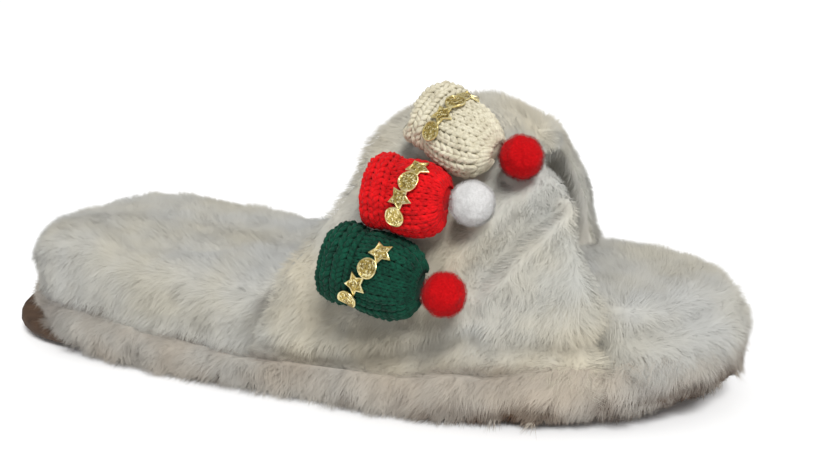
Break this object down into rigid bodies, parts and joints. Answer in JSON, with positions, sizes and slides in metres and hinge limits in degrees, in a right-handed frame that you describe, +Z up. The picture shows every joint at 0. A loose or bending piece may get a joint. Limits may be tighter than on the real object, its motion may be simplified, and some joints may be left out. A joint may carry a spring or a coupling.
{
  "type": "fur slipper",
  "caption": "Open-toe fur slide slipper with a thick plush footbed, a padded fur band and small knitted caps with pompoms on its outer side.",
  "frame": {"origin": "on the floor plane under the middle of the shoe, at the rear of the flat forefoot tread", "axes": "+X to the toe, -Y to the outer side with the caps, +Z up"},
  "size_m": [0.2819, 0.1129, 0.0973],
  "materials": {
    "sole": "matte",
    "wrap_fur": "long pile",
    "footbed_fur": "plush pile",
    "band_fur": "plush pile",
    "green_yarn": "knit",
    "red_yarn": "knit",
    "cream_yarn": "knit",
    "red_pompom": "felt",
    "white_pompom": "felt",
    "gold": "glitter"
  },
  "bodies": {
    "root": {"outsole": "sole", "fur_wrap": "wrap_fur", "footbed": "footbed_fur", "upper": "band_fur", "hat_green": "green_yarn", "hat_red": "red_yarn", "hat_cream": "cream_yarn", "pompom_green_hat": "red_pompom", "pompom_red_hat": "white_pompom", "pompom_cream_hat": "red_pompom", "trim_green_hat": "gold", "trim_red_hat": "gold", "trim_cream_hat": "gold"}
  },
  "joints": []
}
